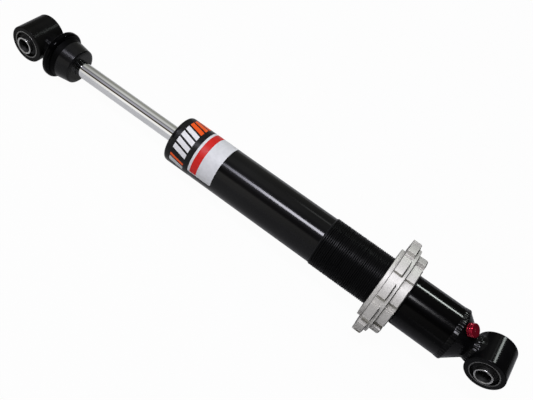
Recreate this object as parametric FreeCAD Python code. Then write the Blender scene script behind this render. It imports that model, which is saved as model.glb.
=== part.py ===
import FreeCAD, Part
import math
import os

os.makedirs("parts", exist_ok=True)
V = FreeCAD.Vector

# Gas shock absorber at full extension, in millimetres.
# It lies along X with its mounting bolts along Y and +Z up.
# The origin is the centre of the rod eye's bore, and +X points to the body eye.

# Overall
EYE_TO_EYE = 424.0
STROKE = 100.0

# Clearances
RUN_CLEARANCE = 0.04
THREAD_CLEARANCE = 0.08
SEAT_CLEARANCE = 0.05
FACE_GAP = 0.3

# Eyes with their rubber bushes
EYE_OD = 29.8
EYE_WIDTH = 27.0
EYE_RIM_ROUND = 0.9
SHELL_OD = 22.4
SHELL_WALL = 0.8
RUBBER_DISH = 2.4
SLEEVE_OD = 13.8
SLEEVE_BORE = 11.0
SLEEVE_PROUD = 2.6
SLEEVE_CHAMFER = 0.4
WELD_RADIUS = 3.0

# Piston rod and the pieces at its eye
ROD_D = 12.7
ROD_BOSS_D = 19.0
ROD_BOSS_END = 22.2
ROD_SPIGOT_D = 10.0
ROD_SPIGOT_LENGTH = 5.0
CUP_OD = 39.2
CUP_THICKNESS = 6.0
CUP_ROUND = 2.3
CUP_COLLAR_D = 33.8
CUP_COLLAR_LENGTH = 4.6
BUMP_BASE_D = 32.2
BUMP_TIP_D = 28.5
BUMP_LENGTH = 12.3
BUMP_ROUND = 1.8
BUMP_TO_TUBE = 1.2

# Body tube
TUBE_BORE = 34.0
TUBE_OD = 38.1
TUBE_RIM_ROUND = 2.0
THREAD_OD = 39.6
THREAD_START = 281.5
THREAD_CHAMFER = 1.0
LOWER_OD = 40.2
TUBE_TO_EYE = 31.7
SEAM_DEPTH = 1.2
SEAM_CROWN = 0.3

# Body end with its neck
END_SPIGOT = 8.0
END_SHOULDER = 2.0
NECK_D = 21.0
NECK_TO_EYE = 17.9
NECK_ROUND = 2.0
CONE_ROUND = 1.5

# Spring seat ring and lock ring
SEAT_FACE = 331.5
COLLAR_OD = 56.2
COLLAR_WIDTH = 3.0
SEAT_LUG_OD = 77.2
SEAT_LUG_WIDTH = 6.9
SEAT_FLANGE_OD = 69.6
SEAT_FLANGE_WIDTH = 2.4
SEAT_LUGS = 12
SEAT_SLOT = 7.2
SEAT_CLOCK = 13.7
RING_GAP = 0.5
LOCK_LUG_OD = 63.0
LOCK_FLOOR_OD = 55.2
LOCK_WIDTH = 7.0
LOCK_LUGS = 10
LOCK_SLOT = 6.1
LOCK_CLOCK = 7.0
LUG_ROUND = 0.35
LUG_CHAMFER = 0.7
THREAD_RUNOUT = 1.7

# Seal head in the rod end of the tube
CLIP_INSET = 1.8
CLIP_THICKNESS = 1.6
CLIP_DEPTH = 0.9
CLIP_SECTION = 2.6
CLIP_OPENING = 12.0
HEAD_LENGTH = 24.0
HEAD_LAND = 2.5
WIPER_SECTION = 3.2
WIPER_DEPTH = 4.0
WIPER_LIP = 1.3
BUSH_WALL = 1.0
BUSH_LENGTH = 11.0
SEAL_SECTION = 4.6
SEAL_DEPTH = 5.5
RING_CORD = 2.6

# Piston stack on the rod
BUMPER_LENGTH = 6.0
BUMPER_OD = 23.0
SPACER_LENGTH = 12.0
SPACER_OD = 19.0
STUD_D = 10.0
WASHER_OD = 21.0
WASHER_THICKNESS = 2.5
SHIM_COUNT = 4
SHIM_THICKNESS = 0.4
SHIM_STEP = 1.5
REBOUND_SHIM_OD = 23.0
COMPRESSION_SHIM_OD = 28.5
PISTON_LENGTH = 15.0
PISTON_GAP = 0.5
BAND_WIDTH = 8.0
BAND_THICKNESS = 1.6
PORTS = 6
PORT_D = 3.6
PORT_CIRCLE = 23.0
NUT_ACROSS_FLATS = 17.0
NUT_LENGTH = 9.0
STUD_PROUD = 1.8

# Floating piston between oil and gas
OIL_MARGIN = 8.0
FLOAT_LENGTH = 20.0
FLOAT_CROWN = 7.0
FLOAT_WALL = 4.6
FLOAT_BAND_WIDTH = 4.0
BLEED_D = 5.0
BLEED_HEAD_D = 8.5
BLEED_HEAD = 3.0
BLEED_KEY = 3.0

# Gas valve on the body end's cone
VALVE_DOWN_CONE = 4.4
VALVE_CLOCK = 10.0
STEM_D = 7.7
STEM_DEPTH = 9.0
STEM_PROUD = 3.9
STEM_MOUTH_D = 4.6
STEM_MOUTH_DEPTH = 5.0
GAS_HOLE_D = 4.2
PIN_D = 1.7
PIN_RECESS = 0.8
POPPET_D = 3.2
POPPET_LENGTH = 1.2
CAP_OD = 10.2
CAP_BODY_OD = 9.8
CAP_NECK_OD = 8.9
CAP_LIFT = 0.8
CAP_FLANGE = 0.95
CAP_GROOVE = 0.6
CAP_TOP = 1.0
CAP_DIMPLE_D = 2.4
CAP_DIMPLE_DEPTH = 0.2

# Stations along X that follow from the sizes above
cup_start = ROD_BOSS_END
collar_start = cup_start + CUP_THICKNESS
bump_start = collar_start + CUP_COLLAR_LENGTH
bump_end = bump_start + BUMP_LENGTH
tube_start = bump_end + STROKE + BUMP_TO_TUBE
tube_end = EYE_TO_EYE - TUBE_TO_EYE
clip_start = tube_start + CLIP_INSET
head_start = clip_start + CLIP_THICKNESS
head_end = head_start + HEAD_LENGTH
bumper_start = head_end + FACE_GAP
spacer_start = bumper_start + BUMPER_LENGTH
shoulder = spacer_start + SPACER_LENGTH
rebound_start = shoulder + WASHER_THICKNESS
shim_stack = SHIM_COUNT * SHIM_THICKNESS
piston_start = rebound_start + shim_stack
compression_start = piston_start + PISTON_LENGTH
rear_washer = compression_start + shim_stack
nut_start = rear_washer + WASHER_THICKNESS
stud_end = nut_start + NUT_LENGTH + STUD_PROUD
float_travel = STROKE * (ROD_D / TUBE_BORE) ** 2
float_start = stud_end + STROKE - float_travel + OIL_MARGIN
lug_start = SEAT_FACE + COLLAR_WIDTH
flange_start = lug_start + SEAT_LUG_WIDTH
lock_start = flange_start + SEAT_FLANGE_WIDTH + RING_GAP
thread_end = lock_start + LOCK_WIDTH + THREAD_RUNOUT
cone_start = tube_end + END_SHOULDER
cone_end = EYE_TO_EYE - NECK_TO_EYE

# Radii shared by pieces that fit together
bore_r = TUBE_BORE / 2
rod_hole_r = ROD_D / 2 + 0.35
stud_hole_r = STUD_D / 2 + SEAT_CLEARANCE
band_r = bore_r - RUN_CLEARANCE
groove_r = band_r - BAND_THICKNESS
ring_bore_r = THREAD_OD / 2 + THREAD_CLEARANCE
bush_inner_r = ROD_D / 2 + RUN_CLEARANCE
bush_outer_r = bush_inner_r + BUSH_WALL
sleeve_r = SLEEVE_OD / 2


def outline(corners):
    """Closed wire through (x, r) corners; a third number rounds that corner with a tangent arc."""
    starts = []
    ends = []
    arcs = []
    count = len(corners)
    for index, corner in enumerate(corners):
        here = V(corner[0], corner[1], 0)
        radius = corner[2] if len(corner) > 2 else 0
        if radius == 0:
            starts.append(here)
            ends.append(here)
            arcs.append(None)
            continue
        before = corners[index - 1]
        after = corners[(index + 1) % count]
        back = (V(before[0], before[1], 0) - here).normalize()
        ahead = (V(after[0], after[1], 0) - here).normalize()
        half = back.getAngle(ahead) / 2
        inward = (back + ahead).normalize()
        reach = radius / math.tan(half)
        middle = here + inward * (radius / math.sin(half) - radius)
        starts.append(here + back * reach)
        ends.append(here + ahead * reach)
        arcs.append(Part.Arc(starts[-1], middle, ends[-1]).toShape())
    edges = []
    for index in range(count):
        if arcs[index]:
            edges.append(arcs[index])
        edges.append(Part.makeLine(ends[index], starts[(index + 1) % count]))
    return Part.Wire(edges)


def turned(corners):
    """Solid of revolution about X from its half section."""
    return Part.Face(outline(corners)).revolve(V(0, 0, 0), V(1, 0, 0), 360)


def tube(start, end, inner_r, outer_r):
    """Plain ring or, with no inner radius, a plain disc."""
    return turned([(start, inner_r), (start, outer_r), (end, outer_r), (end, inner_r)])


def cord_ring(x, outer_r):
    """Round-section seal ring that reaches out to a bore."""
    cord = RING_CORD / 2
    return Part.makeTorus(outer_r - cord, cord, V(x, 0, 0), V(1, 0, 0))


def across(shape, x):
    """Turn a solid made about X so that it lies about Y, centred on an eye."""
    placed = shape.copy()
    placed.rotate(V(0, 0, 0), V(0, 0, 1), 90)
    placed.translate(V(x, 0, 0))
    return placed


def around(shape, count, clock=0):
    """Copies of a solid spaced evenly about X."""
    copies = []
    for index in range(count):
        copy = shape.copy()
        copy.rotate(V(0, 0, 0), V(1, 0, 0), clock + index * 360 / count)
        copies.append(copy)
    return copies


def save(name, *solids):
    """Write one node; several solids make a group."""
    shape = solids[0] if len(solids) == 1 else Part.makeCompound(list(solids))
    shape.exportStep("parts/" + name + ".step")


def eye_hole(x):
    """The eye's outer cylinder, used to cope what is welded to it."""
    return across(tube(-EYE_WIDTH, EYE_WIDTH, 0, EYE_OD / 2), x)


def saddle_weld(x, side, neck_d):
    """Fillet bead along the curve where a round neck meets the eye."""
    neck_r = neck_d / 2
    neck = tube(x, x + side * EYE_OD, 0, neck_r)
    joined = neck.fuse(eye_hole(x))
    bead_edges = []
    for edge in joined.Edges:
        point = edge.valueAt((edge.FirstParameter + edge.LastParameter) / 2)
        on_neck = abs(math.hypot(point.y, point.z) - neck_r) < 0.01
        on_eye = abs(math.hypot(point.x - x, point.z) - EYE_OD / 2) < 0.01
        if on_neck and on_eye:
            bead_edges.append(edge)
    return joined.makeFillet(WELD_RADIUS, bead_edges).cut(joined)


def eye_with_bush(x, eye_name, prefix):
    """Eye ring, bonded rubber bush in its steel shell, and the bolt sleeve."""
    half = EYE_WIDTH / 2
    shell_r = SHELL_OD / 2
    rubber_r = shell_r - SHELL_WALL
    rubber_bore_r = sleeve_r + RUN_CLEARANCE
    ring = turned([
        (-half, shell_r), (-half, EYE_OD / 2, EYE_RIM_ROUND),
        (half, EYE_OD / 2, EYE_RIM_ROUND), (half, shell_r)])
    save(eye_name, across(ring, x))
    save(prefix + "_bush_shell", across(tube(-half, half, rubber_r, shell_r), x))
    inner_end = half - RUBBER_DISH / 3
    outer_end = half - RUBBER_DISH
    rubber = turned([
        (-inner_end, rubber_bore_r), (-outer_end, rubber_r),
        (outer_end, rubber_r), (inner_end, rubber_bore_r)])
    save(prefix + "_bush_rubber", across(rubber, x))
    end = half + SLEEVE_PROUD
    bore_r_sleeve = SLEEVE_BORE / 2
    mouth_r = bore_r_sleeve + SLEEVE_CHAMFER
    sleeve = turned([
        (-end + SLEEVE_CHAMFER, bore_r_sleeve), (-end, mouth_r), (-end, sleeve_r, SLEEVE_CHAMFER),
        (end, sleeve_r, SLEEVE_CHAMFER), (end, mouth_r), (end - SLEEVE_CHAMFER, bore_r_sleeve)])
    save(prefix + "_eye_sleeve", across(sleeve, x))


def rod_end_pieces():
    """Boss welded to the rod eye, bump stop cup with its tapered collar, and the rubber bump stop."""
    spigot_end = ROD_BOSS_END - ROD_SPIGOT_LENGTH
    socket_r = ROD_SPIGOT_D / 2 + SEAT_CLEARANCE
    boss = tube(0, ROD_BOSS_END, 0, ROD_BOSS_D / 2).cut(eye_hole(0))
    boss = boss.cut(tube(spigot_end, ROD_BOSS_END, 0, socket_r))
    save("rod_end_boss", boss)
    save("rod_eye_weld", saddle_weld(0, 1, ROD_BOSS_D))
    hole_r = ROD_D / 2 + SEAT_CLEARANCE
    cup_r = CUP_OD / 2
    save("bump_stop_cup", turned([
        (cup_start, hole_r), (cup_start, cup_r, CUP_ROUND), (collar_start, cup_r, CUP_ROUND),
        (collar_start, CUP_COLLAR_D / 2), (bump_start, BUMP_BASE_D / 2), (bump_start, hole_r)]))
    save("bump_stop", turned([
        (bump_start, hole_r), (bump_start, BUMP_BASE_D / 2),
        (bump_end, BUMP_TIP_D / 2, BUMP_ROUND), (bump_end, hole_r)]))
    save("piston_rod", turned([
        (spigot_end, 0), (spigot_end, ROD_SPIGOT_D / 2), (ROD_BOSS_END, ROD_SPIGOT_D / 2),
        (ROD_BOSS_END, ROD_D / 2), (shoulder, ROD_D / 2), (shoulder, STUD_D / 2),
        (stud_end, STUD_D / 2, 0.8), (stud_end, 0)]))


def body_tube():
    """Tube with a clip groove at the rod end, a threaded length and a plain lower length."""
    groove_top = bore_r + CLIP_DEPTH
    lower_r = LOWER_OD / 2
    save("body_tube", turned([
        (tube_start, bore_r), (tube_start, TUBE_OD / 2, TUBE_RIM_ROUND),
        (THREAD_START, TUBE_OD / 2), (THREAD_START + THREAD_CHAMFER, THREAD_OD / 2),
        (thread_end, THREAD_OD / 2), (thread_end, lower_r),
        (tube_end - SEAM_DEPTH, lower_r), (tube_end, lower_r - SEAM_DEPTH), (tube_end, bore_r),
        (head_start, bore_r), (head_start, groove_top), (clip_start, groove_top), (clip_start, bore_r)]))


def cone_slope():
    """Angle of the body end's cone to the axis, in degrees."""
    return math.degrees(math.atan2((LOWER_OD - NECK_D) / 2, cone_end - cone_start))


def on_valve_axis(shape):
    """Place a solid made about X, with X = 0 on the cone, square to the cone at the valve."""
    slope = cone_slope()
    radius = LOWER_OD / 2 - VALVE_DOWN_CONE * math.tan(math.radians(slope))
    placed = shape.copy()
    placed.rotate(V(0, 0, 0), V(0, 1, 0), slope - 90)
    placed.translate(V(cone_start + VALVE_DOWN_CONE, 0, radius))
    placed.rotate(V(0, 0, 0), V(1, 0, 0), VALVE_CLOCK)
    return placed


def body_end_pieces():
    """Cone and neck that close the tube, with the two weld beads."""
    lower_r = LOWER_OD / 2
    spigot_r = bore_r - SEAT_CLEARANCE
    spigot_start = tube_end - END_SPIGOT
    blank = turned([
        (spigot_start, 0), (spigot_start, spigot_r), (tube_end, spigot_r),
        (tube_end, lower_r - SEAM_DEPTH), (tube_end + SEAM_DEPTH, lower_r),
        (cone_start, lower_r, CONE_ROUND), (cone_end, NECK_D / 2, NECK_ROUND),
        (EYE_TO_EYE, NECK_D / 2), (EYE_TO_EYE, 0)])
    neck = blank.cut(eye_hole(EYE_TO_EYE))
    save("body_eye_weld", saddle_weld(EYE_TO_EYE, -1, NECK_D).cut(neck))
    reach = 2 * (END_SPIGOT + LOWER_OD)
    drilled = neck.cut(on_valve_axis(tube(-reach, -STEM_DEPTH, 0, GAS_HOLE_D / 2)))
    socket_r = STEM_D / 2 + SEAT_CLEARANCE
    save("body_end", drilled.cut(on_valve_axis(tube(-STEM_DEPTH, STEM_PROUD, 0, socket_r))))
    save("tube_end_weld", turned([
        (tube_end - SEAM_DEPTH, lower_r), (tube_end, lower_r + SEAM_CROWN, SEAM_DEPTH / 2),
        (tube_end + SEAM_DEPTH, lower_r), (tube_end, lower_r - SEAM_DEPTH)]))


def seal_head_pieces():
    """Rod guide with its bush, seals, outer ring and the clip that holds it in."""
    rim_r = bore_r - SEAT_CLEARANCE
    wiper_r = ROD_D / 2 + WIPER_SECTION
    seal_r = ROD_D / 2 + SEAL_SECTION
    bush_start = head_start + WIPER_DEPTH + HEAD_LAND
    bush_end = bush_start + BUSH_LENGTH
    seal_start = head_end - SEAL_DEPTH
    ring_r = bore_r - RUN_CLEARANCE
    groove_floor = ring_r - RING_CORD - SEAT_CLEARANCE
    groove_middle = head_start + HEAD_LENGTH / 2
    groove_half = RING_CORD * 0.7
    head = turned([
        (head_start, wiper_r), (head_start, rim_r), (groove_middle - groove_half, rim_r),
        (groove_middle - groove_half, groove_floor), (groove_middle + groove_half, groove_floor),
        (groove_middle + groove_half, rim_r), (head_end, rim_r, 0.6), (head_end, seal_r),
        (seal_start, seal_r), (seal_start, rod_hole_r), (bush_end, rod_hole_r),
        (bush_end, bush_outer_r), (bush_start, bush_outer_r), (bush_start, rod_hole_r),
        (head_start + WIPER_DEPTH, rod_hole_r), (head_start + WIPER_DEPTH, wiper_r)])
    save("seal_head", head)
    save("guide_bush", tube(bush_start, bush_end, bush_inner_r, bush_outer_r))
    wiper_end = head_start + WIPER_DEPTH
    lip_start = head_start - WIPER_LIP
    save("rod_wiper", turned([
        (head_start, wiper_r), (wiper_end, wiper_r), (wiper_end, rod_hole_r),
        (head_start + WIPER_LIP, rod_hole_r + 0.6), (lip_start, bush_inner_r),
        (lip_start, bush_inner_r + 0.5), (head_start, rod_hole_r + 1.4)]))
    lip_end = head_end - SEAL_DEPTH * 0.15
    save("rod_seal", turned([
        (seal_start, bush_inner_r), (seal_start, seal_r), (lip_end, seal_r),
        (head_end - SEAL_DEPTH * 0.6, seal_r - SEAL_SECTION * 0.4),
        (head_end - SEAL_DEPTH * 0.6, bush_inner_r + SEAL_SECTION * 0.4), (lip_end, bush_inner_r)]))
    save("seal_head_ring", cord_ring(groove_middle, ring_r))
    clip_outer = bore_r + CLIP_DEPTH - SEAT_CLEARANCE
    clip = tube(clip_start, head_start, clip_outer - CLIP_SECTION, clip_outer)
    gap = Part.makeBox(CLIP_THICKNESS, CLIP_OPENING, TUBE_OD, V(clip_start, -CLIP_OPENING / 2, -TUBE_OD))
    save("retaining_clip", clip.cut(gap))


def shims(start, largest, step_sign):
    """Thin discs whose diameters shrink away from the piston."""
    discs = []
    for index in range(SHIM_COUNT):
        rank = index if step_sign > 0 else SHIM_COUNT - 1 - index
        x = start + index * SHIM_THICKNESS
        outer_r = largest / 2 - rank * SHIM_STEP
        discs.append(tube(x, x + SHIM_THICKNESS, stud_hole_r, outer_r))
    return discs


def piston_pieces():
    """Valved piston clamped on the rod's stud between shims, washers and a nut."""
    hole_r = ROD_D / 2 + SEAT_CLEARANCE
    save("top_out_bumper", turned([
        (bumper_start, hole_r), (bumper_start, BUMPER_OD / 2, 1.5),
        (spacer_start, BUMPER_OD / 2), (spacer_start, hole_r)]))
    save("top_out_spacer", tube(spacer_start, shoulder, hole_r, SPACER_OD / 2))
    front = tube(shoulder, rebound_start, stud_hole_r, WASHER_OD / 2)
    rear = tube(rear_washer, nut_start, stud_hole_r, WASHER_OD / 2)
    save("shim_washers", front, rear)
    save("rebound_shims", *shims(rebound_start, REBOUND_SHIM_OD, -1))
    save("compression_shims", *shims(compression_start, COMPRESSION_SHIM_OD, 1))
    piston_r = bore_r - PISTON_GAP
    floor_r = groove_r - RUN_CLEARANCE
    middle = piston_start + PISTON_LENGTH / 2
    half = BAND_WIDTH / 2 + RUN_CLEARANCE
    blank = turned([
        (piston_start, stud_hole_r), (piston_start, piston_r, 0.6), (middle - half, piston_r),
        (middle - half, floor_r), (middle + half, floor_r), (middle + half, piston_r),
        (compression_start, piston_r, 0.6), (compression_start, stud_hole_r)])
    port = tube(piston_start, compression_start, 0, PORT_D / 2)
    port.translate(V(0, 0, PORT_CIRCLE / 2))
    save("piston", blank.cut(around(port, PORTS)))
    save("piston_band", tube(middle - BAND_WIDTH / 2, middle + BAND_WIDTH / 2, groove_r, band_r))
    corner_r = NUT_ACROSS_FLATS / math.sqrt(3)
    corners = []
    for index in range(7):
        turn = math.radians(60 * index)
        corners.append(V(nut_start, corner_r * math.cos(turn), corner_r * math.sin(turn)))
    hexagon = Part.Face(Part.makePolygon(corners)).extrude(V(NUT_LENGTH, 0, 0))
    save("piston_nut", hexagon.cut(tube(nut_start, nut_start + NUT_LENGTH, 0, stud_hole_r)))


def floating_piston_pieces():
    """Cup that parts the oil from the gas, with its ring, band and bleed screw."""
    outer_r = bore_r - PISTON_GAP
    end = float_start + FLOAT_LENGTH
    ring_x = float_start + FLOAT_CROWN / 2
    ring_half = RING_CORD * 0.7
    ring_floor = band_r - RING_CORD - SEAT_CLEARANCE
    band_start = end - FLOAT_BAND_WIDTH * 2
    band_end = end - FLOAT_BAND_WIDTH
    band_floor = groove_r - SEAT_CLEARANCE
    cup_r = outer_r - FLOAT_WALL
    cup_floor = float_start + FLOAT_CROWN
    save("floating_piston", turned([
        (float_start, BLEED_D / 2 + SEAT_CLEARANCE), (float_start, outer_r, 0.8),
        (ring_x - ring_half, outer_r), (ring_x - ring_half, ring_floor),
        (ring_x + ring_half, ring_floor), (ring_x + ring_half, outer_r),
        (band_start, outer_r), (band_start, band_floor), (band_end, band_floor), (band_end, outer_r),
        (end, outer_r, 0.8), (end, cup_r), (cup_floor, cup_r, 2.0),
        (cup_floor, BLEED_D / 2 + SEAT_CLEARANCE)]))
    save("floating_piston_ring", cord_ring(ring_x, band_r))
    save("floating_piston_band", tube(band_start, band_end, groove_r, band_r))
    head_top = cup_floor + BLEED_HEAD
    screw = turned([
        (float_start, 0), (float_start, BLEED_D / 2), (cup_floor, BLEED_D / 2),
        (cup_floor, BLEED_HEAD_D / 2), (head_top, BLEED_HEAD_D / 2, 0.5), (head_top, 0)])
    key = Part.makeBox(BLEED_HEAD, BLEED_KEY, BLEED_KEY, V(head_top - BLEED_HEAD * 0.7, 0, 0))
    key.translate(V(0, -BLEED_KEY / 2, -BLEED_KEY / 2))
    save("bleed_screw", screw.cut(key))


def castellated(blank, start, end, floor_r, outer_r, count, slot, clock):
    """Cut spanner slots between lugs, down to a round floor."""
    room = outer_r - floor_r
    block = Part.makeBox(end - start, slot, outer_r + room, V(start, -slot / 2, 0))
    cutter = block.cut(tube(start, end, 0, floor_r))
    return blank.cut(around(cutter, count, clock + 180 / count))


def ring_pieces():
    """Spring seat ring with its pilot collar, and the narrower lock ring behind it."""
    lug_r = SEAT_LUG_OD / 2
    flange_r = SEAT_FLANGE_OD / 2
    flange_end = flange_start + SEAT_FLANGE_WIDTH
    seat = turned([
        (SEAT_FACE + LUG_CHAMFER, ring_bore_r), (SEAT_FACE, ring_bore_r + LUG_CHAMFER),
        (SEAT_FACE, COLLAR_OD / 2, LUG_ROUND), (lug_start, COLLAR_OD / 2),
        (lug_start, lug_r, LUG_ROUND), (flange_start - LUG_CHAMFER, lug_r),
        (flange_start, lug_r - LUG_CHAMFER), (flange_start, flange_r),
        (flange_end, flange_r, LUG_ROUND), (flange_end, ring_bore_r)])
    save("spring_seat_ring", castellated(
        seat, lug_start, flange_start, flange_r, lug_r, SEAT_LUGS, SEAT_SLOT, SEAT_CLOCK))
    lock_r = LOCK_LUG_OD / 2
    lock_end = lock_start + LOCK_WIDTH
    lock = turned([
        (lock_start, ring_bore_r), (lock_start, lock_r, LUG_ROUND), (lock_end - LUG_CHAMFER, lock_r),
        (lock_end, lock_r - LUG_CHAMFER), (lock_end, ring_bore_r + LUG_CHAMFER),
        (lock_end - LUG_CHAMFER, ring_bore_r)])
    save("lock_ring", castellated(
        lock, lock_start, lock_end, LOCK_FLOOR_OD / 2, lock_r, LOCK_LUGS, LOCK_SLOT, LOCK_CLOCK))


def valve_pieces():
    """Gas valve: stem in the cone, sprung pin inside it and a flanged cap with a neck groove."""
    stem_r = STEM_D / 2
    mouth_r = STEM_MOUTH_D / 2
    pin_hole_r = PIN_D / 2 + SEAT_CLEARANCE
    mouth_floor = STEM_PROUD - STEM_MOUTH_DEPTH
    stem = turned([
        (-STEM_DEPTH, pin_hole_r), (-STEM_DEPTH, stem_r), (STEM_PROUD, stem_r, 0.4),
        (STEM_PROUD, mouth_r), (mouth_floor, mouth_r), (mouth_floor, pin_hole_r)])
    save("valve_stem", on_valve_axis(stem))
    poppet_top = -STEM_DEPTH - FACE_GAP
    poppet_base = poppet_top - POPPET_LENGTH
    pin = turned([
        (poppet_base, 0), (poppet_base, POPPET_D / 2), (poppet_top, POPPET_D / 2),
        (poppet_top, PIN_D / 2), (STEM_PROUD - PIN_RECESS, PIN_D / 2, 0.3), (STEM_PROUD - PIN_RECESS, 0)])
    save("valve_pin", on_valve_axis(pin))
    flange_r = CAP_OD / 2
    neck_r = CAP_NECK_OD / 2
    body_r = CAP_BODY_OD / 2
    dimple_r = CAP_DIMPLE_D / 2
    flange_end = CAP_LIFT + CAP_FLANGE
    body_start = flange_end + CAP_GROOVE
    inside_r = stem_r + THREAD_CLEARANCE
    inside_top = STEM_PROUD + FACE_GAP
    cap_end = inside_top + CAP_TOP
    dimple_floor = cap_end - CAP_DIMPLE_DEPTH
    cap = turned([
        (CAP_LIFT, inside_r), (CAP_LIFT, flange_r, 0.3), (flange_end, flange_r, 0.2), (flange_end, neck_r),
        (body_start, neck_r), (body_start, body_r, 0.2), (cap_end, body_r, 0.7), (cap_end, dimple_r),
        (dimple_floor, dimple_r), (dimple_floor, 0), (inside_top, 0), (inside_top, inside_r)])
    save("valve_cap", on_valve_axis(cap))


eye_with_bush(0, "rod_eye", "rod")
eye_with_bush(EYE_TO_EYE, "body_eye", "body")
rod_end_pieces()
body_tube()
body_end_pieces()
seal_head_pieces()
piston_pieces()
floating_piston_pieces()
ring_pieces()
valve_pieces()
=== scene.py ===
"""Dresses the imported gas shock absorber.

It adds the tube with its thread, the softer bump stop, the label film, the weld beads, the castellated
rings, the turned valve cap and every finish. Lengths are millimetres until a mesh is made, and the mesh is
in metres. The lamps, the camera and what the floor's finish reads are in metres too. The shock lies along
X, its bolts lie along Y, and clock angles start at +Z and come round towards -Y.
"""
import math

import bpy
import numpy as np
from mathutils import Matrix


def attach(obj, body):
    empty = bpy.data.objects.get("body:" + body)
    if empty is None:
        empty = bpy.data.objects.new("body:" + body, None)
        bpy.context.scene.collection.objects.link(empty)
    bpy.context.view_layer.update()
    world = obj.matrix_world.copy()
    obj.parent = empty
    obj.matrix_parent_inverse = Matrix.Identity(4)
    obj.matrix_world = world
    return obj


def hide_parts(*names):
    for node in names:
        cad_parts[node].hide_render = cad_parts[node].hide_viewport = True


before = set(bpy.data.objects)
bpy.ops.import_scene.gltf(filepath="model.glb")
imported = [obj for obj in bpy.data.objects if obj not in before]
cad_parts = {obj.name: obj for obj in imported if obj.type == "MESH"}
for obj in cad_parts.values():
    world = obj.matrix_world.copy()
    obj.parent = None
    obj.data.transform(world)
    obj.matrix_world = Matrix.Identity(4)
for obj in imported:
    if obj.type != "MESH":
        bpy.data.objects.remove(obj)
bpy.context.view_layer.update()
MM = 0.001
TURN = 2 * np.pi

# Sizes shared with the solids
EYE_R = 14.9
BODY_EYE_X = 424.0
BOSS_R = 9.5
NECK_R = 10.5
CUP_COLLAR_START = 28.2
STOP_START = 32.8
STOP_END = 45.1
STOP_BASE_R = 16.1
STOP_TIP_R = 14.25
STOP_BORE_R = 6.4
TUBE_START = 146.3
TUBE_R = 19.05
BORE_R = 17.0
RIM_ROUND = 2.0
CLIP_START = 148.1
HEAD_START = 149.7
CLIP_GROOVE_R = 17.9
THREAD_START = 281.5
THREAD_CHAMFER = 1.0
THREAD_R = 19.8
THREAD_END = 353.0
LOWER_R = 20.1
TUBE_END = 392.3
SEAM_DEPTH = 1.2
RING_BORE_R = 19.88
SEAT_FACE = 331.5
COLLAR_R = 28.1
LUG_START = 334.5
FLANGE_START = 341.4
FLANGE_END = 343.8
SEAT_LUG_R = 38.6
FLANGE_R = 34.8
SEAT_LUGS = 12
SEAT_SLOT = 7.2
SEAT_CLOCK = 13.7
LOCK_START = 344.3
LOCK_END = 351.3
LOCK_LUG_R = 31.5
LOCK_FLOOR_R = 27.6
LOCK_LUGS = 10
LOCK_SLOT = 6.1
LOCK_CLOCK = 7.0
LUG_ROUND = 0.35
LUG_CHAMFER = 0.7
CONE_START = 394.3
CONE_END = 406.1
VALVE_DOWN_CONE = 4.4
VALVE_CLOCK = 10.0
CAP_R = 5.1
CAP_LIFT = 0.8
CAP_END = 5.2
CAP_INSIDE_R = 3.93
CAP_INSIDE_TOP = 4.2


# Surfaces from arrays

RUN_END_GAP = 0.12
RUN_END_SHARE = 0.3


def cells(rows, columns, close_rows=False, close_columns=False):
    """Corner numbers of each cell of a grid of rows and columns; a closed way joins last to first."""
    r = np.arange(rows if close_rows else rows - 1)
    c = np.arange(columns if close_columns else columns - 1)
    r, c = np.meshgrid(r, c, indexing="ij")
    below, beside = (r + 1) % rows, (c + 1) % columns
    corners = [r * columns + c, r * columns + beside, below * columns + beside, below * columns + c]
    return np.stack(corners, -1).reshape(-1, 4)


def closed_cells(points):
    """The cells of a grid of points that closes both ways."""
    return cells(*points.shape[:2], close_rows=True, close_columns=True)


def facing_out(points, quads):
    """A sixth of the summed triple products is the signed volume; a negative one turns all faces round."""
    a, b, c, d = (points[quads[:, k]] for k in range(4))
    volume = np.einsum("ij,ij->i", a, np.cross(b, c)) + np.einsum("ij,ij->i", a, np.cross(c, d))
    return quads if volume.sum() > 0 else quads[:, ::-1]


def piece(name, points, quads, look, body, stands_for=(), slot=None, crease=40.0, painted_shading=None):
    """A closed shell of points in millimetres as one mesh at the origin.

    It is smooth but for edges sharper than crease. Its last argument gives each point a number from 0, no
    painted light, to 1, full painted light, which its finish reads: painted shade on most pieces and a
    painted highlight on the thread's bevel.
    """
    points = np.asarray(points, float).reshape(-1, 3)
    quads = facing_out(points - points.mean(0), np.asarray(quads))
    mesh = bpy.data.meshes.new(name)
    mesh.vertices.add(len(points))
    mesh.vertices.foreach_set("co", (points * MM).astype(np.float32).ravel())
    mesh.loops.add(quads.size)
    mesh.loops.foreach_set("vertex_index", quads.astype(np.int32).ravel())
    mesh.polygons.add(len(quads))
    mesh.polygons.foreach_set("loop_start", np.arange(0, quads.size, 4, dtype=np.int32))
    mesh.polygons.foreach_set("use_smooth", np.ones(len(quads), bool))
    mesh.update(calc_edges=True)
    mesh.validate()
    mesh.set_sharp_from_angle(angle=math.radians(crease))
    mesh.materials.append(look)
    if painted_shading is not None:
        mark = mesh.attributes.new("painted_shading", "FLOAT", "POINT")
        mark.data.foreach_set("value", np.asarray(painted_shading, np.float32).ravel())
    made = bpy.data.objects.new(name, mesh)
    bpy.context.scene.collection.objects.link(made)
    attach(made, body)
    if stands_for:
        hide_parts(*stands_for)


def clocks(columns):
    """Equal steps of the clock angle in radians, once round."""
    return np.linspace(0, TURN, columns, endpoint=False)


def around_axis(x, r, clock):
    """Points at station x and radius r, turned about X by the clock angle in radians."""
    x, r, clock = np.broadcast_arrays(x, r, clock)
    return np.stack([x, -r * np.sin(clock), r * np.cos(clock)], -1)


def carried_round(outline, columns):
    """A closed (x, r) outline carried once round X."""
    points = around_axis(outline[:, :1], outline[:, 1:], clocks(columns))
    return points, closed_cells(points)


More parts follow.
